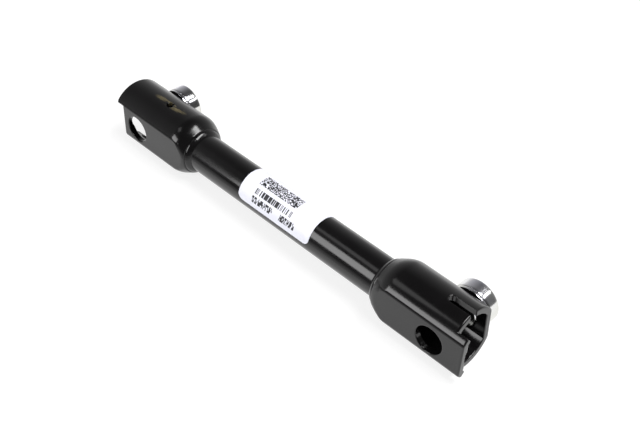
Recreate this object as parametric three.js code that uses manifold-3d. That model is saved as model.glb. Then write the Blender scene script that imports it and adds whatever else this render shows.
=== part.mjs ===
// Connecting shaft of a universal joint drive: a round tube with a double-flatted clamp socket welded on
// each end. Every socket has a cross hole through its front flat and a round-head clamp screw, with its
// captive washer, in the flat behind it.
//
// Millimetres. +X runs along the shaft, +Y along the clamp screws from the front flats to the screw heads,
// and +Z is up. The shaft is drawn about its own axis and moved at the end, so that the origin is the
// centre of the whole part's box.
import * as THREE from "three";
import { mergeVertices } from "three/addons/utils/BufferGeometryUtils.js";
import Module from "manifold-3d";

// Tube
const TUBE_R = 12.5;
const TUBE_WALL = 2.5;
const TUBE_IN_NECK = 9; // how far the tube reaches into each socket

// Sockets, measured outwards from the cross hole's axis: negative is towards the tube
const HOLE_SPACING = 250;
const SOCKET_R = 20;
const WALL = 4.2;
const FRONT_FLAT = 16; // distance from the shaft's axis to the front flat
const BACK_FLAT = 17.2;
const FLAT_FILLET = 4; // bend between a flat and the round
const NECK_R = 15.7;
const CONE = 7.8; // length of the shoulder's cone
const SHOULDER_ROUND = 4; // tangent length of the rounding at the cone's foot
const RIGHT = { side: 1, neck: -42.3, rim: 15.7 };
const LEFT = { side: -1, neck: -47.4, rim: 19.6 };
const CAVITY_STEP = 3; // the wide cavity starts this far outwards of the cone's foot

// Openings
const HOLE_R = 9;
const HOLE_Z = -1;
const DRAIN_R = 2.6; // left socket only
const DRAIN_OUT = -16.7;
const SLOT_END = -2; // both slots run from the rim to here
const TOP_SLOT = 5; // right socket
const BOTTOM_SLOT = 11.6; // left socket
const RIM_SLANT = THREE.MathUtils.degToRad(3); // the right rim leans out at the bottom
const TONGUE_OUT = 21.9;
const TONGUE_HALF_ANGLE = THREE.MathUtils.degToRad(50);
const NOTCH_OUT = 13.7; // the left socket's front flat ends here
const NOTCH_TOP = 10.6;
const NOTCH_CORNER = 3;

// Clamp screws, as heights along +Y from the shaft's axis
const HEAD_R = 13.5;
const HEAD_TOP = 28;
const HEAD_FOOT = 19.9;
const WASHER = { r: 13.4, bore: 8.9, foot: 18, top: 19.6 };
const SHANK_R = 8.5;
const SHANK_TIP = 12.5;
const TAPPED_R = 8.9;
const EDGE = 0.7; // chamfer on the head's edges
const KEY_ACROSS_FLATS = 14;
const KEY_DEPTH = 5;

// Weld beads
const BEAD_LENGTH = 3.4;
const BEAD_CREST = 15.3;

// Label, a thin shell wrapped round the tube
const LABEL_LENGTH = 60;
const LABEL_WIDTH = 40;
const LABEL_THICKNESS = 0.2;
const LABEL_START = THREE.MathUtils.degToRad(-2); // its lower edge, turned up from the front
const LABEL_MIDDLE = 0.7; // along X

const GAP = 0.3; // between neighbouring pieces
const ROUND = 48; // facets of a full turn
const SMALL_ROUND = 32;
const FAR = 60; // longer than anything that a cutter has to clear

const wasm = await Module();
wasm.setup();

// ---- solids ----

// A closed three.js geometry as a manifold-3d solid, turned face out if its outline ran backwards.
function solid(geometry) {
  const bare = new THREE.BufferGeometry();
  bare.setAttribute("position", geometry.getAttribute("position"));
  if (geometry.index) bare.setIndex(geometry.index);
  const merged = mergeVertices(bare, 1e-4);
  const vertProperties = new Float32Array(merged.getAttribute("position").array);
  const triVerts = withoutSlivers(merged.index.array);
  const made = new wasm.Manifold(new wasm.Mesh({ numProp: 3, vertProperties, triVerts }));
  if (made.volume() > 0) return made;
  for (let i = 0; i < triVerts.length; i += 3) {
    [triVerts[i + 1], triVerts[i + 2]] = [triVerts[i + 2], triVerts[i + 1]];
  }
  return new wasm.Manifold(new wasm.Mesh({ numProp: 3, vertProperties, triVerts }));
}

// Drops the triangles that a lathe collapses on its axis.
function withoutSlivers(index) {
  const kept = [];
  for (let i = 0; i < index.length; i += 3) {
    const [a, b, c] = index.slice(i, i + 3);
    if (a !== b && b !== c && c !== a) kept.push(a, b, c);
  }
  return new Uint32Array(kept);
}

// A body of revolution about the shaft's axis, from [x, radius] points.
function turnedAboutX(points, segments = ROUND) {
  const profile = points.map(([x, r]) => new THREE.Vector2(r, x));
  return solid(new THREE.LatheGeometry(profile, segments).rotateZ(-Math.PI / 2));
}

// A body of revolution about a screw's axis, from [y, radius] points.
function turnedAboutY(points, x, segments = ROUND) {
  const profile = points.map(([y, r]) => new THREE.Vector2(r, y));
  return solid(new THREE.LatheGeometry(profile, segments).translate(x, 0, HOLE_Z));
}

// A section drawn in (y, z), run along X from one end to the other.
function runAlongX(section, fromX, toX, curveSegments = ROUND / 4) {
  const geometry = new THREE.ExtrudeGeometry(section, {
    depth: Math.abs(toX - fromX),
    bevelEnabled: false,
    curveSegments,
  });
  const basis = new THREE.Matrix4().makeBasis(
    new THREE.Vector3(0, 1, 0),
    new THREE.Vector3(0, 0, 1),
    new THREE.Vector3(1, 0, 0),
  );
  return solid(geometry.applyMatrix4(basis).translate(Math.min(fromX, toX), 0, 0));
}

// A box between two corners.
function block(low, high) {
  const size = high.map((value, axis) => value - low[axis]);
  const middle = high.map((value, axis) => (value + low[axis]) / 2);
  return solid(new THREE.BoxGeometry(...size).translate(...middle));
}

// A round cutter along Y or Z.
function drill(axis, radius, from, to, x, across) {
  const geometry = new THREE.CylinderGeometry(radius, radius, to - from, SMALL_ROUND);
  geometry.translate(0, (from + to) / 2, 0);
  if (axis === "z") geometry.rotateX(Math.PI / 2).translate(x, across, 0);
  else geometry.translate(x, 0, across);
  return solid(geometry);
}

function meshOf(name, made, material) {
  const { vertProperties, triVerts, numProp } = made.getMesh();
  const count = vertProperties.length / numProp;
  const position = new Float32Array(count * 3);
  for (let i = 0; i < count; i++) {
    position.set(vertProperties.subarray(i * numProp, i * numProp + 3), i * 3);
  }
  const geometry = new THREE.BufferGeometry();
  geometry.setAttribute("position", new THREE.BufferAttribute(position, 3));
  geometry.setIndex(new THREE.BufferAttribute(new Uint32Array(triVerts), 1));
  geometry.computeVertexNormals();
  const mesh = new THREE.Mesh(geometry, material);
  mesh.name = name;
  return mesh;
}

// ---- outlines ----

// The socket's section: a circle of the given radius with a front and a back flat, bent over with a
// fillet. Drawn in (y, z), starting at the lower end of the front flat.
function flattedSection(radius, front, back, fillet) {
  const flatEnd = (flat) => Math.sqrt((radius - fillet) ** 2 - (flat - fillet) ** 2);
  const zFront = flatEnd(front);
  const zBack = flatEnd(back);
  const turnFront = Math.atan2(zFront, -(front - fillet));
  const turnBack = Math.atan2(zBack, back - fillet);
  const section = new THREE.Shape();
  section.moveTo(-front, -zFront);
  section.lineTo(-front, zFront);
  section.absarc(-(front - fillet), zFront, fillet, Math.PI, turnFront, true);
  section.absarc(0, 0, radius, turnFront, turnBack, true);
  section.absarc(back - fillet, zBack, fillet, turnBack, 0, true);
  section.lineTo(back, -zBack);
  section.absarc(back - fillet, -zBack, fillet, 0, -turnBack, true);
  section.absarc(0, 0, radius, -turnBack, -turnFront, true);
  section.absarc(-(front - fillet), -zFront, fillet, -turnFront, -Math.PI, true);
  return section;
}

// Half section of the shoulder, as [x, radius] points out to a plain end that clears the socket.
function shoulderProfile(place, neck, rimEnd) {
  const foot = neck + CONE;
  const rise = (SOCKET_R - NECK_R) / CONE;
  const curve = new THREE.QuadraticBezierCurve(
    new THREE.Vector2(foot - SHOULDER_ROUND, SOCKET_R - rise * SHOULDER_ROUND),
    new THREE.Vector2(foot, SOCKET_R),
    new THREE.Vector2(foot + SHOULDER_ROUND, SOCKET_R),
  );
  const rounding = curve.getPoints(4).map((point) => [place(point.x), point.y]);
  return [
    [place(neck), 0],
    [place(neck), NECK_R],
    ...rounding,
    [place(foot + SHOULDER_ROUND), SOCKET_R + 1],
    [place(rimEnd), SOCKET_R + 1],
    [place(rimEnd), 0],
  ];
}

// ---- pieces ----

const paint = () => new THREE.MeshStandardMaterial({ color: 0x151517, roughness: 0.35, metalness: 0.1 });
const zinc = () => new THREE.MeshStandardMaterial({ color: 0xc9c9c4, roughness: 0.28, metalness: 1 });
const paper = () => new THREE.MeshStandardMaterial({ color: 0xe9eaf3, roughness: 0.55, metalness: 0 });

// Maps a distance outwards from the cross hole to x.
const placeOn = (side) => (outwards) => side * (HOLE_SPACING / 2 + outwards);

function centreTube() {
  const reach = ({ side, neck }) => placeOn(side)(neck + TUBE_IN_NECK);
  const ends = [reach(LEFT), reach(RIGHT)];
  return turnedAboutX([
    [ends[0], TUBE_R - TUBE_WALL],
    [ends[1], TUBE_R - TUBE_WALL],
    [ends[1], TUBE_R],
    [ends[0], TUBE_R],
    [ends[0], TUBE_R - TUBE_WALL],
  ]);
}

// Shoulder, double-flatted body and bores that both sockets share, out to the given end.
function socketBody({ side, neck }, end) {
  const place = placeOn(side);
  const outside = flattedSection(SOCKET_R, FRONT_FLAT, BACK_FLAT, FLAT_FILLET);
  const inside = flattedSection(SOCKET_R - WALL, FRONT_FLAT - WALL, BACK_FLAT - WALL, 1);
  const cavityFrom = place(neck + CONE + CAVITY_STEP);
  const neckBore = [
    [place(neck - 1), 0],
    [place(neck - 1), TUBE_R + GAP],
    [cavityFrom + side, TUBE_R + GAP],
    [cavityFrom + side, 0],
  ];
  const x = place(0);
  return runAlongX(outside, place(neck), place(end))
    .intersect(turnedAboutX(shoulderProfile(place, neck, end + 1)))
    .subtract(runAlongX(inside, cavityFrom, place(end + 1)))
    .subtract(turnedAboutX(neckBore))
    .subtract(drill("y", HOLE_R, -FAR, 0, x, HOLE_Z))
    .subtract(drill("y", TAPPED_R, 0, FAR, x, HOLE_Z));
}

// A slot of the given width, round at its inner end, cut through the top (+1) or the bottom (-1) wall.
function slotCutter(side, width, upDown) {
  const place = placeOn(side);
  const zs = [0, upDown * FAR].sort((a, b) => a - b);
  const xs = [place(SLOT_END + width / 2), place(FAR)].sort((a, b) => a - b);
  const run = block([xs[0], -width / 2, zs[0]], [xs[1], width / 2, zs[1]]);
  return run.add(drill("z", width / 2, zs[0], zs[1], place(SLOT_END + width / 2), 0));
}

// Everything past the right rim's slanted plane, apart from the sector that the tongue keeps.
function rimCutter() {
  const rimX = placeOn(1)(RIGHT.rim);
  const past = new THREE.BoxGeometry(FAR, 2 * FAR, 2 * FAR).translate(FAR / 2, 0, 0);
  past.rotateY(-RIM_SLANT).translate(rimX, 0, 0);
  const sector = new THREE.Shape();
  sector.moveTo(0, 0);
  sector.lineTo(-FAR * Math.cos(TONGUE_HALF_ANGLE), FAR * Math.sin(TONGUE_HALF_ANGLE));
  sector.lineTo(-FAR * Math.cos(TONGUE_HALF_ANGLE), -FAR * Math.sin(TONGUE_HALF_ANGLE));
  return solid(past).subtract(runAlongX(sector, rimX - FAR, rimX + FAR));
}

// The piece of the left socket's front that stops short: below the notch's top, out to the slot.
function notchCutter() {
  const place = placeOn(-1);
  const inner = place(NOTCH_OUT);
  const outer = place(FAR);
  const cornerX = inner + NOTCH_CORNER;
  const cornerZ = NOTCH_CORNER - FRONT_FLAT;
  const outline = new THREE.Shape();
  outline.moveTo(outer, NOTCH_TOP);
  outline.lineTo(inner, NOTCH_TOP);
  outline.lineTo(inner, cornerZ);
  outline.absarc(cornerX, cornerZ, NOTCH_CORNER, Math.PI, Math.PI * 1.5);
  outline.lineTo(cornerX, -FAR);
  outline.lineTo(outer, -FAR);
  const settings = { depth: FAR, bevelEnabled: false, curveSegments: 6 };
  const geometry = new THREE.ExtrudeGeometry(outline, settings);
  return solid(geometry.rotateX(Math.PI / 2).translate(0, -BOTTOM_SLOT / 2, 0));
}

function rightSocket() {
  return socketBody(RIGHT, TONGUE_OUT).subtract(rimCutter()).subtract(slotCutter(1, TOP_SLOT, 1));
}

function leftSocket() {
  const x = placeOn(-1)(DRAIN_OUT);
  return socketBody(LEFT, LEFT.rim)
    .subtract(notchCutter())
    .subtract(slotCutter(-1, BOTTOM_SLOT, -1))
    .subtract(drill("z", DRAIN_R, 0, FAR, x, 0));
}

// A fillet weld between the neck's end face and the tube, slightly crowned.
function weldBead({ side, neck }) {
  const place = placeOn(side);
  const start = neck - GAP;
  const crown = new THREE.QuadraticBezierCurve(
    new THREE.Vector2(start, BEAD_CREST),
    new THREE.Vector2(start - BEAD_LENGTH * 0.62, BEAD_CREST - 0.4),
    new THREE.Vector2(start - BEAD_LENGTH, TUBE_R + GAP),
  );
  const crowned = crown.getPoints(5).map((point) => [place(point.x), point.y]);
  return turnedAboutX([[place(start), TUBE_R + GAP], ...crowned, [place(start), TUBE_R + GAP]]);
}

function clampScrew(side) {
  const x = placeOn(side)(0);
  const turned = turnedAboutY(
    [
      [SHANK_TIP, 0],
      [SHANK_TIP, SHANK_R - EDGE],
      [SHANK_TIP + EDGE, SHANK_R],
      [HEAD_FOOT, SHANK_R],
      [HEAD_FOOT, HEAD_R - EDGE],
      [HEAD_FOOT + EDGE, HEAD_R],
      [HEAD_TOP - EDGE, HEAD_R],
      [HEAD_TOP, HEAD_R - EDGE],
      [HEAD_TOP, 0],
    ],
    x,
  );
  const keyRadius = KEY_ACROSS_FLATS / Math.sqrt(3);
  const key = new THREE.CylinderGeometry(keyRadius, keyRadius, 2 * KEY_DEPTH, 6);
  return turned.subtract(solid(key.translate(x, HEAD_TOP, HOLE_Z)));
}

function captiveWasher(side) {
  const { r, bore, foot, top } = WASHER;
  const ring = [
    [foot, bore],
    [foot, r],
    [top, r],
    [top, bore],
    [foot, bore],
  ];
  return turnedAboutY(ring, placeOn(side)(0));
}

// A thin shell on the tube; angles turn from the front (-Y) up over the top.
function labelShell() {
  const inner = TUBE_R + GAP;
  const outer = inner + LABEL_THICKNESS;
  const from = Math.PI - LABEL_START;
  const to = from - LABEL_WIDTH / TUBE_R;
  const section = new THREE.Shape();
  section.absarc(0, 0, outer, from, to, true);
  section.absarc(0, 0, inner, to, from, false);
  const half = LABEL_LENGTH / 2;
  return runAlongX(section, LABEL_MIDDLE - half, LABEL_MIDDLE + half, ROUND / 2);
}

// ---- assembly ----

const shaft = new THREE.Group();
shaft.add(meshOf("centre_tube", centreTube(), paint()));
shaft.add(meshOf("left_socket", leftSocket(), paint()));
shaft.add(meshOf("right_socket", rightSocket(), paint()));
shaft.add(meshOf("left_weld_bead", weldBead(LEFT), paint()));
shaft.add(meshOf("right_weld_bead", weldBead(RIGHT), paint()));
for (const { side, word } of [{ side: -1, word: "left" }, { side: 1, word: "right" }]) {
  shaft.add(meshOf(word + "_clamp_screw", clampScrew(side), zinc()));
  shaft.add(meshOf(word + "_captive_washer", captiveWasher(side), zinc()));
}
shaft.add(meshOf("label", labelShell(), paper()));

// The box runs from the left rim to the tongue's end and from the front flats to the screw heads.
const boxCentreX = (TONGUE_OUT - LEFT.rim) / 2;
const boxCentreY = (HEAD_TOP - FRONT_FLAT) / 2;
shaft.position.set(-boxCentreX, -boxCentreY, 0);

const part = new THREE.Group();
part.add(shaft);

export default part;
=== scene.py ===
"""Looks for the universal joint shaft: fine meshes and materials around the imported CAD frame.

Lengths are millimetres in the shaft frame until `to_row` turns them into the row frame's metres. The shaft
frame has the tube's own axis at y = z = 0 and x = 0 midway between the two cross holes.
"""

import math

import bmesh
import bpy
import numpy as np
from mathutils import Matrix, Vector


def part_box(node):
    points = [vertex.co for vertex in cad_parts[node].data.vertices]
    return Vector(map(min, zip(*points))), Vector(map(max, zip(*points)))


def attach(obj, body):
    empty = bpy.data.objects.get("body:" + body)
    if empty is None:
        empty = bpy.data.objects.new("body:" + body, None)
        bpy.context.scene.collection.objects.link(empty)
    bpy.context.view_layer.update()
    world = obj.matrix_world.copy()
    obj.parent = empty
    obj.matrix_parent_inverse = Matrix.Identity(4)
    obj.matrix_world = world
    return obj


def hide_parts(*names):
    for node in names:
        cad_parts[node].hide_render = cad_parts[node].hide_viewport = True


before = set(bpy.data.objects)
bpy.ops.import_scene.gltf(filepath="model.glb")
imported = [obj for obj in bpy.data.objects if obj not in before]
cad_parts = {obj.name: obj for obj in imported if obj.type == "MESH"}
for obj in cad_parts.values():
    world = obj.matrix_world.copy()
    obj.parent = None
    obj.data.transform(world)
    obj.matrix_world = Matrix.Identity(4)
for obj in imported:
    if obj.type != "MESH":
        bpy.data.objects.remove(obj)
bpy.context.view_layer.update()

MM = 0.001


# ---- the driving dimensions, read from the frame ----

def box_mm(node):
    """A node's lowest and highest corner in the row frame, in millimetres."""
    low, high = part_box(node)
    return np.array(low) / MM, np.array(high) / MM


tube_low, tube_high = box_mm("centre_tube")
screw_boxes = {side: box_mm(f"{word}_clamp_screw") for side, word in ((-1, "left"), (1, "right"))}
washer_boxes = {side: box_mm(f"{word}_captive_washer") for side, word in ((-1, "left"), (1, "right"))}
socket_boxes = {side: box_mm(f"{word}_socket") for side, word in ((-1, "left"), (1, "right"))}
bead_boxes = {side: box_mm(f"{word}_weld_bead") for side, word in ((-1, "left"), (1, "right"))}
label_low, label_high = box_mm("label")

screw_x = {side: (low[0] + high[0]) / 2 for side, (low, high) in screw_boxes.items()}
ORIGIN = np.array([
    (screw_x[-1] + screw_x[1]) / 2,
    (tube_low[1] + tube_high[1]) / 2,
    (tube_low[2] + tube_high[2]) / 2,
])
HALF_SPACING = (screw_x[1] - screw_x[-1]) / 2
TUBE_R = (tube_high[2] - tube_low[2]) / 2
SOCKET_R = socket_boxes[1][1][2]
FRONT_FLAT = ORIGIN[1] - socket_boxes[1][0][1]
HOLE_Z = (screw_boxes[1][0][2] + screw_boxes[1][1][2]) / 2
HEAD_R = (screw_boxes[1][1][2] - screw_boxes[1][0][2]) / 2
HEAD_TOP = screw_boxes[1][1][1] - ORIGIN[1]
SHANK_TIP = screw_boxes[1][0][1] - ORIGIN[1]
WASHER_FOOT = washer_boxes[1][0][1] - ORIGIN[1]
WASHER_TOP = washer_boxes[1][1][1] - ORIGIN[1]
WASHER_R = (washer_boxes[1][1][2] - washer_boxes[1][0][2]) / 2


def outwards(side, row_x):
    """How far a row-frame x lies outwards of that side's cross hole."""
    return side * (row_x - ORIGIN[0]) - HALF_SPACING


NECK = {1: outwards(1, socket_boxes[1][0][0]), -1: outwards(-1, socket_boxes[-1][1][0])}
LEFT_RIM = outwards(-1, socket_boxes[-1][0][0])
TONGUE_OUT = outwards(1, socket_boxes[1][1][0])

# Socket details that a box doesn't show
WALL = 4.2
BACK_FLAT = 17.2
FLAT_FILLET = 4
NECK_R = 15.7
CONE = 7.8
SHOULDER_BLEND = 2.2  # radial height over which the cone rounds into the cylinder
CAVITY_STEP = 3
NECK_BORE_R = TUBE_R + 0.3
HOLE_R = 9
TAPPED_R = 8.9
DRAIN_R = 2.6
DRAIN_OUT = -16.7
DRAIN_EDGE = 0.2
SLOT_END = -2
TOP_SLOT = 5
BOTTOM_SLOT = 11.6
RIGHT_RIM = 15.7
RIM_SLANT = math.radians(3)
TONGUE_HALF_ANGLE = math.radians(50)
NOTCH_OUT = 13.7
NOTCH_TOP = 10.6
NOTCH_CORNER = 3

# Edge roundings
OUTER_EDGE = 0.9
INNER_EDGE = 0.5
SLOT_EDGE = 0.3
HOLE_EDGE = 0.6
NET_STEP = 0.5  # spacing of the socket meshes' vertices

# Clamp screws and washers
THREAD_PITCH = 1.5
THREAD_MEAN_R = 8.25
THREAD_DEPTH = 0.4
HEAD_FOOT = WASHER_TOP + 0.3
FOOT_EDGE = 0.15  # rounding of the head's lower edge and of the washer
HEAD_EDGE = 0.7
KEY_ACROSS_FLATS = 14
KEY_DEPTH = 5
WASHER_BORE_R = 8.9

# Label
LABEL_CORNER = 4.2
LABEL_THICKNESS = 0.12
LABEL_WIDTH = 40
LABEL_START = math.radians(-2)  # its lower edge, turned up from the front
PRINTED = [  # span along X, span up the sheet, cell size, share of blank cells, seed
    ((-18.9, 12.6), (15.8, 24.4), (0.6, 0.62), 0.36, 3),
    ((-18.5, 12.7), (9.3, 13.1), (0.42, 3.8), 0.4, 11),
    ((-18.2, -0.6), (3.4, 7.7), (0.55, 1.43), 0.38, 23),
    ((5.4, 18.3), (3.4, 7.7), (0.55, 1.43), 0.38, 31),
]

# Weld beads
RIPPLES = 52
RIPPLE_HEIGHT = 0.035
BEAD_WAVER = 0.05  # slow change of the crown round the tube

# Stage, in metres
FLOOR_HALF = 3.0
FLOOR_DROP = 0.0002  # below the sockets
CARD_FADE = 0.2  # the foreground card has dimmed to its end level over this distance
FOCAL_LENGTH = 55.1  # mm, on a 36 mm sensor
CAMERA_PLACE = (0.3121, -0.3154, 0.3928)
CAMERA_AXES = ((0.7105, 0.7027, 0.0384), (-0.4900, 0.4547, 0.7437), (0.5051, -0.5472, 0.6674))


def to_row(points):
    """Shaft-frame millimetres to row-frame metres."""
    return (np.asarray(points, float) + ORIGIN) * MM


# ---- meshes from distance fields ----

def blend_max(a, b, radius):
    """The overlap of two solids, their common edge rounded to the given radius."""
    room = np.minimum(np.maximum(a, b), -radius)
    return room + np.hypot(np.maximum(a + radius, 0), np.maximum(b + radius, 0))


def blend_min(a, b, radius):
    """The union of two solids, their common corner filled with a fillet."""
    return -blend_max(-a, -b, radius)


def cut(body, tool, radius):
    """body without tool, the new edge rounded."""
    return blend_max(body, -tool, radius)


def gradient(field, points, reach):
    """Central differences of field at the points."""
    slopes = []
    for axis in range(3):
        step = np.zeros(3)
        step[axis] = reach
        slopes.append(field(*(points + step).T) - field(*(points - step).T))
    return np.stack(slopes, axis=1) / (2 * reach)


def crossings(values, crossed):
    """For each crossed cell, the mean of the points where the surface cuts its edges, in cell units."""
    corner = np.array([[i, j, k] for i in (0, 1) for j in (0, 1) for k in (0, 1)])
    cells = np.argwhere(crossed)
    at = [values[tuple((cells + c).T)] for c in corner]
    total = np.zeros((len(cells), 3))
    count = np.zeros(len(cells))
    for a in range(8):
        for b in range(a + 1, 8):
            if np.abs(corner[a] - corner[b]).sum() != 1:
                continue
            cuts = (at[a] < 0) != (at[b] < 0)
            share = np.where(cuts, at[a] / np.where(cuts, at[a] - at[b], 1), 0)
            point = corner[a] + share[:, None] * (corner[b] - corner[a])
            total += point * cuts[:, None]
            count += cuts
    return cells + total / count[:, None]


def net(field, low, high, step):
    """Vertices, unit normals and quads of the surface where field is zero, on a grid of the given step."""
    low = np.asarray(low, float)
    sizes = np.ceil((np.asarray(high) - low) / step).astype(int) + 1
    axes = [low[i] + step * np.arange(sizes[i]) for i in range(3)]
    values = field(*np.meshgrid(*axes, indexing="ij"))
    inside = values < 0
    shifts = [(i, j, k) for i in (0, 1) for j in (0, 1) for k in (0, 1)]
    held = sum(inside[i:sizes[0] - 1 + i, j:sizes[1] - 1 + j, k:sizes[2] - 1 + k].astype(int)
               for i, j, k in shifts)
    crossed = (held > 0) & (held < 8)
    number = np.full(crossed.shape, -1)
    number[crossed] = np.arange(crossed.sum())
    points = low + step * crossings(values, crossed)
    for _ in range(3):
        slope = gradient(field, points, 0.002)
        points = points - (field(*points.T) / np.maximum((slope ** 2).sum(1), 0.25))[:, None] * slope
    normals = gradient(field, points, 0.03)
    normals /= np.linalg.norm(normals, axis=1)[:, None]
    quads = []
    for axis in range(3):
        one, two = [a for a in range(3) if a != axis]
        ahead = np.take(inside, range(1, sizes[axis]), axis)
        behind = np.take(inside, range(sizes[axis] - 1), axis)
        edges = np.argwhere(ahead != behind)
        edges = edges[(edges[:, one] > 0) & (edges[:, two] > 0)]
        edges = edges[(edges[:, one] < sizes[one] - 1) & (edges[:, two] < sizes[two] - 1)]
        around = []
        for back_one, back_two in ((1, 1), (0, 1), (0, 0), (1, 0)):
            cell = edges.copy()
            cell[:, one] -= back_one
            cell[:, two] -= back_two
            around.append(number[tuple(cell.T)])
        quad = np.stack(around, axis=1)
        leaving = behind[tuple(edges.T)]
        flip = leaving if axis == 1 else ~leaving
        quad[flip] = quad[flip][:, ::-1]
        quads.append(quad)
    return points, normals, np.concatenate(quads)


# ---- Blender objects ----

def add_object(name, vertices, faces, material, body, normals=None, replaces=()):
    """A smooth-shaded mesh object of row-frame metres that rides on a CAD body."""
    mesh = bpy.data.meshes.new(name)
    mesh.from_pydata(vertices, [], faces)
    mesh.validate()
    mesh.polygons.foreach_set("use_smooth", np.ones(len(mesh.polygons), bool))
    if normals is not None:
        mesh.normals_split_custom_set_from_vertices(normals)
    mesh.materials.append(material)
    made = bpy.data.objects.new(name, mesh)
    bpy.context.scene.collection.objects.link(made)
    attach(made, body)
    if replaces:
        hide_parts(*replaces)
    return made


def ring_faces(rows, columns):
    """Quads of a grid whose columns close on themselves."""
    faces = []
    for row in range(rows - 1):
        for column in range(columns):
            right = (column + 1) % columns
            faces.append((
                row * columns + column,
                row * columns + right,
                (row + 1) * columns + right,
                (row + 1) * columns + column,
            ))
    return faces


def arc(centre, radius, start, end, steps):
    """Points of an arc in a turned part's (height, radius) plane, angles in degrees."""
    angles = np.radians(np.linspace(start, end, steps + 1))
    return [(centre[0] + radius * math.sin(a), centre[1] + radius * math.cos(a)) for a in angles]


# ---- sockets ----

def flatted_distance(y, z, radius, front, back, fillet):
    """Distance to a circle cut by a front and a back flat whose ends bend over with a fillet."""
    core, front, back = radius - fillet, front - fillet, back - fillet
    z = np.abs(z)
    r = np.maximum(np.hypot(y, z), 1e-9)
    foot_y = y * core / r
    on_circle = r - core
    result = np.maximum(np.maximum(on_circle, -front - y), y - back)
    for flat, beyond in ((-front, foot_y < -front), (back, foot_y > back)):
        corner_z = math.sqrt(max(core ** 2 - flat ** 2, 0))
        at_corner = beyond & (z > corner_z)
        result = np.where(at_corner, np.hypot(y - flat, z - corner_z), result)
    return result - fillet


def outer_body(side, u, y, z):
    """The pressed outside of a socket, before it is cut to length."""
    rise = (SOCKET_R - NECK_R) / CONE
    cone = NECK_R + rise * (u - NECK[side])
    near = np.maximum(SHOULDER_BLEND - np.abs(SOCKET_R - cone), 0)
    radius = np.minimum(SOCKET_R, cone) - near ** 2 / (4 * SHOULDER_BLEND)
    radius = np.maximum(radius, NECK_R - 1)
    slope = np.where(cone < SOCKET_R, math.cos(math.atan(rise)), 1)
    turned = (np.hypot(y, z) - radius) * slope
    flatted = flatted_distance(y, z, SOCKET_R, FRONT_FLAT, BACK_FLAT, FLAT_FILLET)
    bend = np.clip(SOCKET_R - radius, 0, 1.2)
    body = blend_max(flatted, turned, bend)
    return blend_max(body, NECK[side] - u, 0.5)


def stadium(u, y, width):
    """Plan of a slot that runs outwards from its round end."""
    centre = SLOT_END + width / 2
    return np.where(u > centre, np.abs(y), np.hypot(u - centre, y)) - width / 2


def hollow(side, u, y, z):
    """The stepped bore of a socket."""
    start = NECK[side] + CONE + CAVITY_STEP
    wide = flatted_distance(y, z, SOCKET_R - WALL, FRONT_FLAT - WALL, BACK_FLAT - WALL, 1)
    wide = blend_max(wide, start - u, 0.5)
    return np.minimum(wide, np.hypot(y, z) - NECK_BORE_R)


def cross_bores(u, y, z):
    """The cross hole in the front flat and the tapped bore in the back one."""
    r = np.hypot(u, z - HOLE_Z)
    return np.where(y < 0, r - HOLE_R, r - TAPPED_R)


def right_field(u, y, z):
    plane = (u - RIGHT_RIM) * math.cos(RIM_SLANT) + z * math.sin(RIM_SLANT)
    sector = np.abs(z) * math.cos(TONGUE_HALF_ANGLE) + y * math.sin(TONGUE_HALF_ANGLE)
    tongue = blend_max(u - TONGUE_OUT, sector, 0.5)
    body = blend_max(outer_body(1, u, y, z), blend_min(plane, tongue, 0.8), OUTER_EDGE)
    body = cut(body, hollow(1, u, y, z), INNER_EDGE)
    body = cut(body, cross_bores(u, y, z), HOLE_EDGE)
    return cut(body, np.maximum(stadium(u, y, TOP_SLOT), -z), SLOT_EDGE)


def left_field(u, y, z):
    body = blend_max(outer_body(-1, u, y, z), u - LEFT_RIM, OUTER_EDGE)
    body = cut(body, hollow(-1, u, y, z), INNER_EDGE)
    kept = blend_max(u - NOTCH_OUT, -FRONT_FLAT - z, NOTCH_CORNER)
    notch = np.maximum(np.maximum(-kept, z - NOTCH_TOP), y + BOTTOM_SLOT / 2)
    notch = np.maximum(notch, NOTCH_OUT - NOTCH_CORNER - u)
    body = cut(body, notch, INNER_EDGE)
    body = cut(body, cross_bores(u, y, z), HOLE_EDGE)
    body = cut(body, np.maximum(stadium(u, y, BOTTOM_SLOT), z), SLOT_EDGE)
    drain = np.maximum(np.hypot(u - DRAIN_OUT, y) - DRAIN_R, -z)
    return cut(body, drain, DRAIN_EDGE)


def add_socket(side, word, field, end, material):
    """Nets the field in outward coordinates, and mirrors it for the left side."""
    margin = 1.3
    low = [NECK[side] - margin, -FRONT_FLAT - margin, -SOCKET_R - margin]
    high = [end + margin, BACK_FLAT + margin, SOCKET_R + margin]
    points, normals, quads = net(field, low, high, NET_STEP)
    points[:, 0] = side * (HALF_SPACING + points[:, 0])
    normals[:, 0] *= side
    if side < 0:
        quads = quads[:, ::-1]
    name = f"{word}_socket_shell"
    return add_object(name, to_row(points), quads.tolist(), material, "shaft",
                      normals.tolist(), [f"{word}_socket"])


# ---- tube, beads and label ----

def turned_about_x(profile, columns):
    """Vertices of (x, radius) rows, where radius may be a function of the angle."""
    angles = 2 * math.pi * np.arange(columns) / columns
    rows = []
    for x, radius in profile:
        r = radius(angles) if callable(radius) else np.full(columns, float(radius))
        rows.append(np.stack([np.full(columns, float(x)), r * np.cos(angles), r * np.sin(angles)], 1))
    return np.concatenate(rows)


def add_tube(material):
    columns = 128
    ends = (tube_low[0] - ORIGIN[0], tube_high[0] - ORIGIN[0])
    bore_r = TUBE_R - 2.5
    inside = [(ends[1], bore_r), (ends[0], bore_r)]
    outside = [(x, TUBE_R) for x in np.linspace(ends[0], ends[1], 60)]
    rows = outside + inside + outside[:1]
    vertices = turned_about_x(rows, columns)
    made = add_object("centre_tube_fine", to_row(vertices), ring_faces(len(rows), columns), material,
                      "shaft", replaces=["centre_tube"])
    made.data.set_sharp_from_angle(angle=math.radians(40))
    return made


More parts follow.
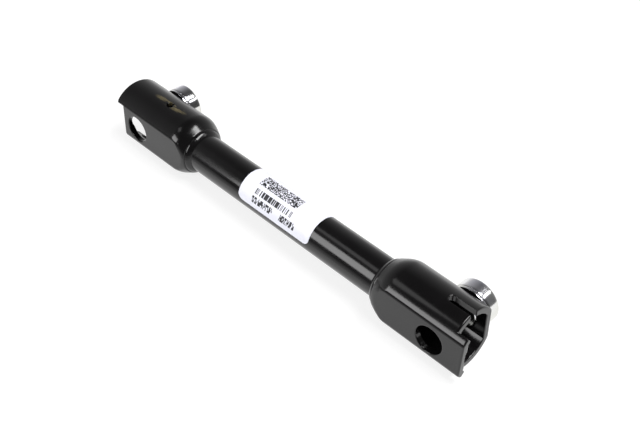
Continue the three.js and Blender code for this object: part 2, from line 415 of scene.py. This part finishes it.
def add_bead(side, word, material):
    """A fillet weld whose crown carries the ripples of the torch."""
    columns = 240
    low, high = bead_boxes[side]
    near = side * (high[0] if side > 0 else low[0]) - side * ORIGIN[0]
    far = side * (low[0] if side > 0 else high[0]) - side * ORIGIN[0]
    crest = high[2]

    def crown(share):
        def radius(angles):
            smooth = TUBE_R + (crest - 0.25 - TUBE_R) * (1 - share ** 1.7)
            phase = RIPPLES * angles + 2.2 * share
            wave = RIPPLE_HEIGHT * np.abs(np.sin(phase / 2)) + BEAD_WAVER * np.sin(5 * angles + 1.3)
            return smooth + wave * math.sin(math.pi * min(share + 0.12, 1))
        return radius

    shares = np.linspace(0, 1, 13)
    rows = [(side * (near + 0.2), TUBE_R - 0.2), (side * (near + 0.2), crown(0))]
    rows += [(side * (near + (far - near) * share), crown(share)) for share in shares]
    rows += [(side * far, TUBE_R - 0.2), rows[0]]
    vertices = turned_about_x(rows, columns)
    faces = ring_faces(len(rows), columns)
    if side > 0:
        faces = [face[::-1] for face in faces]
    made = add_object(f"{word}_bead_rippled", to_row(vertices), faces, material, "shaft",
                      replaces=[f"{word}_weld_bead"])
    made.data.set_sharp_from_angle(angle=math.radians(50))
    return made


def add_label(material):
    """A sheet with round corners wrapped on the tube, with its flat size in millimetres as UVs."""
    x_low, x_high = label_low[0] - ORIGIN[0], label_high[0] - ORIGIN[0]
    insets = LABEL_CORNER * (1 - np.cos(np.linspace(0, math.pi / 2, 11)))
    xs = np.concatenate([x_low + insets, np.linspace(x_low + LABEL_CORNER, x_high - LABEL_CORNER, 40)[1:-1],
                         (x_high - insets)[::-1]])
    columns = 49
    vertices, sheet = [], []
    for layer in (0.02, LABEL_THICKNESS):
        for x in xs:
            reach = max(LABEL_CORNER - min(x - x_low, x_high - x), 0)
            trim = LABEL_CORNER - math.sqrt(LABEL_CORNER ** 2 - reach ** 2)
            for along in np.linspace(trim, LABEL_WIDTH - trim, columns):
                angle = LABEL_START + along / (TUBE_R + 0.3)
                r = TUBE_R + layer
                vertices.append((x, -r * math.cos(angle), r * math.sin(angle)))
                sheet.append((x, along))
    rows, faces = len(xs), []

    def at(layer, row, column):
        return (layer * rows + row) * columns + column

    for row in range(rows - 1):
        for column in range(columns - 1):
            quad = [(row, column), (row + 1, column), (row + 1, column + 1), (row, column + 1)]
            faces.append([at(1, *corner_at) for corner_at in quad])
            faces.append([at(0, *corner_at) for corner_at in quad[::-1]])
    border = [(row, 0) for row in range(rows)]
    border += [(rows - 1, column) for column in range(1, columns)]
    border += [(row, columns - 1) for row in range(rows - 2, -1, -1)]
    border += [(0, column) for column in range(columns - 2, 0, -1)]
    for first, second in zip(border, border[1:] + border[:1]):
        faces.append([at(0, *first), at(0, *second), at(1, *second), at(1, *first)])
    made = add_object("label_wrapped", to_row(vertices), faces, material, "shaft",
                      replaces=["label"])
    uv = made.data.uv_layers.new(name="sheet")
    for loop in made.data.loops:
        uv.data[loop.index].uv = sheet[loop.vertex_index]
    made.data.set_sharp_from_angle(angle=math.radians(40))
    return made


# ---- clamp screws and washers ----

def turned_about_y(profile, columns):
    """Vertices of (height, radius) rows round a screw's axis, where radius may depend on the angle."""
    angles = 2 * math.pi * np.arange(columns) / columns
    rows = []
    for height, radius in profile:
        r = radius(angles) if callable(radius) else np.full(columns, float(radius))
        rows.append(np.stack([r * np.sin(angles), np.full(columns, float(height)), r * np.cos(angles)], 1))
    return np.concatenate(rows)


def hexagon(apothem):
    """Radius of a hexagon by angle."""
    def radius(angles):
        turn = np.mod(angles, math.pi / 3) - math.pi / 6
        return apothem / np.cos(turn)
    return radius


def thread(height, grown):
    """Radius of the screw's thread at a height, grown from nothing to its full depth."""
    def radius(angles):
        turn = height / THREAD_PITCH - angles / (2 * math.pi)
        tooth = 4 * np.abs(turn - np.floor(turn) - 0.5) - 1
        return THREAD_MEAN_R + grown * THREAD_DEPTH * np.clip(tooth, -0.85, 0.85)
    return radius


def screw_profile():
    rows = [(SHANK_TIP, 0), (SHANK_TIP, 5.5)]
    start, end = SHANK_TIP, HEAD_FOOT  # the thread runs out just under the head
    for height in np.arange(start, end - 0.8, 0.125):
        rows.append((height, thread(height, min((height - start) / 1.2, 1))))
    rows += [(end - 0.5, 7.9), (end - 0.3, 7.9), (end, 8.1), (end, HEAD_R - 2), (end, HEAD_R - FOOT_EDGE)]
    rows += arc((end + FOOT_EDGE, HEAD_R - FOOT_EDGE), FOOT_EDGE, -90, 0, 4)[1:]
    rows += [(height, HEAD_R) for height in np.linspace(end + FOOT_EDGE, HEAD_TOP - HEAD_EDGE, 6)[1:]]
    rows += arc((HEAD_TOP - HEAD_EDGE, HEAD_R - HEAD_EDGE), HEAD_EDGE, 0, 90, 6)[1:]
    apothem = KEY_ACROSS_FLATS / 2
    rows += [(HEAD_TOP, HEAD_R - 2), (HEAD_TOP, 10.2), (HEAD_TOP, 9.3)]
    rows += [(HEAD_TOP, hexagon(apothem + 0.5)), (HEAD_TOP - 0.15, hexagon(apothem + 0.2))]
    rows += [(HEAD_TOP - 0.5, hexagon(apothem)), (HEAD_TOP - KEY_DEPTH, hexagon(apothem))]
    rows += [(HEAD_TOP - KEY_DEPTH, 6), (HEAD_TOP - KEY_DEPTH - 1.4, 0)]
    return rows


def add_turned(name, profile, side, material, body, node):
    columns = 144
    centre = np.array([side * HALF_SPACING, 0, HOLE_Z])
    vertices = turned_about_y(profile, columns)
    made = add_object(name, vertices * MM, ring_faces(len(profile), columns), material,
                      body, replaces=[node])
    made.matrix_world = Matrix.Translation(Vector(to_row(centre)))
    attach(made, body)  # again, because it has moved since add_object
    mesh = made.data
    shaped = bmesh.new()
    shaped.from_mesh(mesh)
    bmesh.ops.remove_doubles(shaped, verts=shaped.verts, dist=1e-7)
    bmesh.ops.recalc_face_normals(shaped, faces=shaped.faces)
    shaped.to_mesh(mesh)
    shaped.free()
    mesh.set_sharp_from_angle(angle=math.radians(38))
    return made


def washer_profile():
    edge = FOOT_EDGE
    rows = [(WASHER_FOOT, WASHER_BORE_R), (WASHER_FOOT, WASHER_R - edge)]
    rows += arc((WASHER_FOOT + edge, WASHER_R - edge), edge, -90, 0, 4)[1:]
    rows += arc((WASHER_TOP - edge, WASHER_R - edge), edge, 0, 90, 4)
    rows += [(WASHER_TOP, WASHER_BORE_R), (WASHER_FOOT, WASHER_BORE_R)]
    return rows


# ---- materials ----

def set_stops(ramp, stops):
    """Fills a colour ramp node from pairs of a position and a grey level or a colour."""
    elements = ramp.color_ramp.elements
    while len(elements) < len(stops):
        elements.new(0.5)
    for element, (position, value) in zip(elements, stops):
        element.position = position
        element.color = (*value, 1) if isinstance(value, tuple) else (value, value, value, 1)


class Nodes:
    """Short forms for building a material's node tree."""

    def __init__(self, name):
        self.material = bpy.data.materials.new(name)
        self.material.use_nodes = True
        self.tree = self.material.node_tree
        self.shader = self.tree.nodes["Principled BSDF"]

    def add(self, kind, **values):
        made = self.tree.nodes.new(kind)
        for key, value in values.items():
            setattr(made, key, value)
        return made

    def link(self, source, target):
        self.tree.links.new(source, target)

    def math(self, operation, *inputs, clamp=False):
        made = self.add("ShaderNodeMath", operation=operation, use_clamp=clamp)
        for socket, source in zip(made.inputs, inputs):
            if isinstance(source, (int, float)):
                socket.default_value = source
            else:
                self.link(source, socket)
        return made.outputs[0]

    def ramp(self, source, stops):
        made = self.add("ShaderNodeValToRGB")
        set_stops(made, stops)
        self.link(source, made.inputs[0])
        return made.outputs[0]

    def noise(self, vector, scale, detail=3, roughness=0.5):
        made = self.add("ShaderNodeTexNoise")
        made.inputs["Scale"].default_value = scale
        made.inputs["Detail"].default_value = detail
        made.inputs["Roughness"].default_value = roughness
        self.link(vector, made.inputs["Vector"])
        return made.outputs["Fac"]

    def stretched(self, vector, scale):
        made = self.add("ShaderNodeMapping")
        made.inputs["Scale"].default_value = scale
        self.link(vector, made.inputs["Vector"])
        return made.outputs[0]

    def bump(self, height, distance, strength, normal=None):
        made = self.add("ShaderNodeBump")
        made.inputs["Strength"].default_value = strength
        made.inputs["Distance"].default_value = distance
        self.link(height, made.inputs["Height"])
        if normal is not None:
            self.link(normal, made.inputs["Normal"])
        return made.outputs[0]

    def mix(self, factor, first, second):
        made = self.add("ShaderNodeMix", data_type="RGBA")
        for socket, source in ((made.inputs[0], factor), (made.inputs[6], first), (made.inputs[7], second)):
            if isinstance(source, (int, float)):
                socket.default_value = source
            elif isinstance(source, tuple):
                socket.default_value = (*source, 1)
            else:
                self.link(source, socket)
        return made.outputs[2]

    def object_position(self):
        return self.add("ShaderNodeTexCoord").outputs["Object"]


def black_paint():
    """Thick gloss black over steel: faint orange peel, dust and a little yellowish tint in streaks beside
    the drain hole.
    """
    n = Nodes("black_paint_gloss")
    place = n.object_position()
    peel = n.noise(place, 420, 2, 0.4)
    sag = n.noise(place, 60, 1, 0.3)
    dust = n.noise(place, 2600, 2, 0.7)
    patch = n.noise(place, 35, 4, 0.6)
    colour = n.ramp(patch, [(0.3, (0.0028, 0.0026, 0.0028)), (0.7, (0.005, 0.0046, 0.005))])
    specks = n.ramp(dust, [(0.74, 0.0), (0.8, 1.0)])
    speckled = n.mix(n.math("MULTIPLY", specks, 0.25), colour, (0.12, 0.12, 0.115))
    tinted = n.mix(drain_tint(n, place), speckled, (0.17, 0.14, 0.07))
    n.link(tinted, n.shader.inputs["Base Color"])
    rough = n.ramp(patch, [(0.3, 0.12), (0.7, 0.18)])
    n.link(rough, n.shader.inputs["Roughness"])
    n.shader.inputs["IOR"].default_value = 1.5
    fine = n.bump(peel, 0.00002, 0.35)
    n.link(n.bump(sag, 0.00008, 0.3, fine), n.shader.inputs["Normal"])
    return n.material


def drain_tint(n, place):
    """A yellowish streak along the shaft beside the left drain hole, broken up by noise."""
    drain = to_row([-(HALF_SPACING + DRAIN_OUT), 0, SOCKET_R])
    reach = (0.016, 0.0034, 0.003)
    aside = 0.0006
    parts = n.add("ShaderNodeSeparateXYZ")
    n.link(place, parts.inputs[0])
    along = n.math("DIVIDE", n.math("SUBTRACT", parts.outputs[0], float(drain[0])), reach[0])
    across = n.math("DIVIDE", n.math("SUBTRACT", parts.outputs[1], float(drain[1]) + aside), reach[1])
    above = n.math("DIVIDE", n.math("SUBTRACT", parts.outputs[2], float(drain[2])), reach[2])
    squares = [n.math("MULTIPLY", part, part) for part in (along, across, above)]
    spread = n.math("ADD", n.math("ADD", squares[0], squares[1]), squares[2])
    near = n.math("SUBTRACT", 1.0, spread, clamp=True)
    streaks = n.noise(n.stretched(place, (90, 420, 90)), 1, 2)
    return n.math("MULTIPLY", near, n.ramp(streaks, [(0.44, 0.0), (0.6, 0.85)]))


def zinc_plate():
    """Bright zinc over fine turning marks, with the faint blue and yellow of its passivation."""
    n = Nodes("zinc_plate_turned")
    place = n.object_position()
    rings = n.noise(n.stretched(place, (30, 6000, 30)), 1, 3, 0.6)
    cloud = n.noise(place, 60, 2, 0.4)
    colour = n.ramp(cloud, [(0.3, (0.7, 0.7, 0.65)), (0.55, (0.76, 0.76, 0.74)), (0.75, (0.69, 0.69, 0.76))])
    n.link(colour, n.shader.inputs["Base Color"])
    n.shader.inputs["Metallic"].default_value = 1.0
    n.shader.inputs["Anisotropic"].default_value = 0.6
    n.shader.inputs["Anisotropic Rotation"].default_value = 0.25
    around = n.add("ShaderNodeTangent", direction_type="RADIAL", axis="Y")
    n.link(around.outputs[0], n.shader.inputs["Tangent"])
    n.link(n.ramp(cloud, [(0.3, 0.11), (0.7, 0.15)]), n.shader.inputs["Roughness"])
    n.link(n.bump(rings, 0.00001, 0.05), n.shader.inputs["Normal"])
    return n.material


def label_paper():
    """Satin white stock with a block of random cells and rows of random bars, which spell nothing."""
    n = Nodes("label_stock")
    sheet = n.add("ShaderNodeUVMap", uv_map="sheet").outputs[0]
    parts = n.add("ShaderNodeSeparateXYZ")
    n.link(sheet, parts.inputs[0])
    x, along = parts.outputs[0], parts.outputs[1]
    ink = 0.0
    for x_span, along_span, cell, share, seed in PRINTED:
        ink = n.math("MAXIMUM", ink, printed(n, x, along, x_span, along_span, cell, share, seed))
    fibre = n.noise(n.object_position(), 2500, 3, 0.6)
    paper = n.ramp(fibre, [(0.3, (0.8, 0.805, 0.9)), (0.7, (0.86, 0.865, 0.95))])
    n.link(n.mix(ink, paper, (0.02, 0.02, 0.025)), n.shader.inputs["Base Color"])
    n.shader.inputs["Roughness"].default_value = 0.45
    n.link(n.bump(fibre, 0.00001, 0.3), n.shader.inputs["Normal"])
    return n.material


def printed(n, x, along, x_span, along_span, cell, share, seed):
    """1 inside the random cells of a printed rectangle, and 0 elsewhere."""
    inside = n.math("MULTIPLY", between(n, x, *x_span), between(n, along, *along_span))
    column = n.math("FLOOR", n.math("DIVIDE", n.math("SUBTRACT", x, x_span[0]), cell[0]))
    row = n.math("FLOOR", n.math("DIVIDE", n.math("SUBTRACT", along, along_span[0]), cell[1]))
    joined = n.add("ShaderNodeCombineXYZ")
    n.link(column, joined.inputs[0])
    n.link(row, joined.inputs[1])
    joined.inputs[2].default_value = seed
    chance = n.add("ShaderNodeTexWhiteNoise", noise_dimensions="3D")
    n.link(joined.outputs[0], chance.inputs["Vector"])
    return n.math("MULTIPLY", inside, n.math("GREATER_THAN", chance.outputs["Value"], share))


def between(n, value, low, high):
    return n.math("MULTIPLY", n.math("GREATER_THAN", value, low), n.math("LESS_THAN", value, high))


def pale_floor():
    n = Nodes("studio_floor")
    n.shader.inputs["Base Color"].default_value = (0.25, 0.25, 0.25, 1)
    n.shader.inputs["Roughness"].default_value = 0.9
    n.shader.inputs["Specular IOR Level"].default_value = 0.1
    n.shader.inputs["Emission Color"].default_value = (1, 1, 1, 1)
    n.shader.inputs["Emission Strength"].default_value = 0.8
    return n.material


# ---- stage, lights and camera ----

def add_floor():
    """A pale floor just under the sockets."""
    half = FLOOR_HALF
    level = float(socket_boxes[1][0][2]) * MM - FLOOR_DROP
    mesh = bpy.data.meshes.new("floor")
    corners = [(-half, -half, level), (half, -half, level), (half, half, level), (-half, half, level)]
    mesh.from_pydata(corners, [], [(0, 1, 2, 3)])
    mesh.materials.append(pale_floor())
    floor = bpy.data.objects.new("floor", mesh)
    bpy.context.scene.collection.objects.link(floor)


def add_foreground_card():
    """A dark card in front of the shaft, seen only in its reflections."""
    material = bpy.data.materials.new("foreground_card")
    material.use_nodes = True
    tree = material.node_tree
    tree.nodes.clear()
    place = tree.nodes.new("ShaderNodeTexCoord")
    parts = tree.nodes.new("ShaderNodeSeparateXYZ")
    ramp = tree.nodes.new("ShaderNodeValToRGB")
    glow = tree.nodes.new("ShaderNodeEmission")
    output = tree.nodes.new("ShaderNodeOutputMaterial")
    scaled = tree.nodes.new("ShaderNodeMath")
    scaled.operation = "MULTIPLY"
    scaled.inputs[1].default_value = -1 / CARD_FADE
    tree.links.new(place.outputs["Object"], parts.inputs[0])
    tree.links.new(parts.outputs[1], scaled.inputs[0])
    tree.links.new(scaled.outputs[0], ramp.inputs[0])
    set_stops(ramp, [(0.0, 0.85), (0.12, 0.6), (0.3, 0.28), (0.6, 0.14), (1.0, 0.07)])
    tree.links.new(ramp.outputs[0], glow.inputs[0])
    tree.links.new(glow.outputs[0], output.inputs[0])
    mesh = bpy.data.meshes.new("foreground_card")
    mesh.from_pydata([(-1, -1.2, 0), (1, -1.2, 0), (1, 0, 0), (-1, 0, 0)], [], [(0, 1, 2, 3)])
    mesh.materials.append(material)
    card = bpy.data.objects.new("foreground_card", mesh)
    card.location = (0, -0.05, float(socket_boxes[1][0][2]) * MM + 0.0001)
    card.visible_camera = False
    card.visible_diffuse = False
    card.visible_shadow = False
    bpy.context.scene.collection.objects.link(card)


def add_light(name, azimuth, elevation, distance, width, height, radiance):
    """A softbox that faces the object from a direction in degrees, azimuth turned from +X towards +Y."""
    light = bpy.data.lights.new(name, "AREA")
    light.shape = "RECTANGLE"
    light.size = width
    light.size_y = height
    light.energy = radiance * math.pi * width * height
    made = bpy.data.objects.new(name, light)
    turn, rise = math.radians(azimuth), math.radians(elevation)
    towards = Vector((math.cos(rise) * math.cos(turn), math.cos(rise) * math.sin(turn), math.sin(rise)))
    made.location = towards * distance
    made.rotation_euler = towards.to_track_quat("Z", "Y").to_euler()
    bpy.context.scene.collection.objects.link(made)
    return made


def add_world():
    """A white backdrop behind the shaft that fades upwards, and a dim room in front of it."""
    world = bpy.data.worlds.new("studio")
    bpy.context.scene.world = world
    world.use_nodes = True
    tree = world.node_tree
    background = tree.nodes["Background"]
    place = tree.nodes.new("ShaderNodeTexCoord")
    parts = tree.nodes.new("ShaderNodeSeparateXYZ")
    tree.links.new(place.outputs["Generated"], parts.inputs[0])

    def ramp(source, stops):
        made = tree.nodes.new("ShaderNodeValToRGB")
        set_stops(made, stops)
        tree.links.new(source, made.inputs[0])
        return made.outputs[0]

    behind_levels = [(0.0, 0.85), (0.26, 0.52), (0.5, 0.36), (0.7, 0.2), (0.85, 0.07), (1, 0.05)]
    behind = ramp(parts.outputs[2], behind_levels)
    ahead = ramp(parts.outputs[2], [(0.0, 0.07), (0.5, 0.05), (0.8, 0.05), (1, 0.05)])
    lifted = tree.nodes.new("ShaderNodeMapRange")
    lifted.inputs["From Min"].default_value = -0.35
    lifted.inputs["From Max"].default_value = 0.35
    aside = tree.nodes.new("ShaderNodeMath")
    aside.operation = "MULTIPLY_ADD"
    aside.inputs[1].default_value = -1.1
    tree.links.new(parts.outputs[0], aside.inputs[0])
    tree.links.new(parts.outputs[1], aside.inputs[2])
    tree.links.new(aside.outputs[0], lifted.inputs["Value"])
    mixed = tree.nodes.new("ShaderNodeMix")
    mixed.data_type = "RGBA"
    tree.links.new(lifted.outputs[0], mixed.inputs[0])
    tree.links.new(ahead, mixed.inputs[6])
    tree.links.new(behind, mixed.inputs[7])
    path = tree.nodes.new("ShaderNodeLightPath")
    shown = tree.nodes.new("ShaderNodeMix")
    shown.data_type = "RGBA"
    shown.inputs[7].default_value = (0.95, 0.95, 0.95, 1)
    tree.links.new(path.outputs["Is Camera Ray"], shown.inputs[0])
    tree.links.new(mixed.outputs[2], shown.inputs[6])
    tree.links.new(shown.outputs[2], background.inputs["Color"])


def add_camera():
    """The camera, its right, up and backward axes turned into the columns of its matrix."""
    camera = bpy.data.cameras.new("camera")
    camera.sensor_width = 36
    camera.lens = FOCAL_LENGTH
    camera.clip_start = 0.01
    made = bpy.data.objects.new("camera", camera)
    turn = Matrix(CAMERA_AXES).transposed().to_4x4()
    made.matrix_world = Matrix.Translation(Vector(CAMERA_PLACE)) @ turn
    bpy.context.scene.collection.objects.link(made)
    bpy.context.scene.camera = made


# ---- assembly ----

paint = black_paint()
zinc = zinc_plate()
paper = label_paper()
add_tube(paint)
add_label(paper)
add_socket(-1, "left", left_field, LEFT_RIM, paint)
add_socket(1, "right", right_field, TONGUE_OUT, paint)
for side, word in ((-1, "left"), (1, "right")):
    add_bead(side, word, paint)
    add_turned(f"{word}_screw_turned", screw_profile(), side, zinc, f"{word}_screw", f"{word}_clamp_screw")
    add_turned(f"{word}_washer_turned", washer_profile(), side, zinc, f"{word}_washer",
               f"{word}_captive_washer")

add_floor()
add_foreground_card()
add_light("front_softbox", -112, 22, 1.6, 0.85, 0.85, 5.5)
add_light("high_strip", -138, 57, 1.6, 0.5, 0.34, 1.1)
add_light("back_softbox", 48, 41, 1.6, 0.42, 0.22, 3.2)
add_light("shoulder_softbox", 26, 67, 1.6, 1.15, 0.55, 13)
fill = add_light("overhead_fill", -90, 72, 2.2, 2.6, 2.2, 0.45)
fill.visible_glossy = False
add_world()
add_camera()
bpy.context.scene.view_settings.view_transform = "Standard"
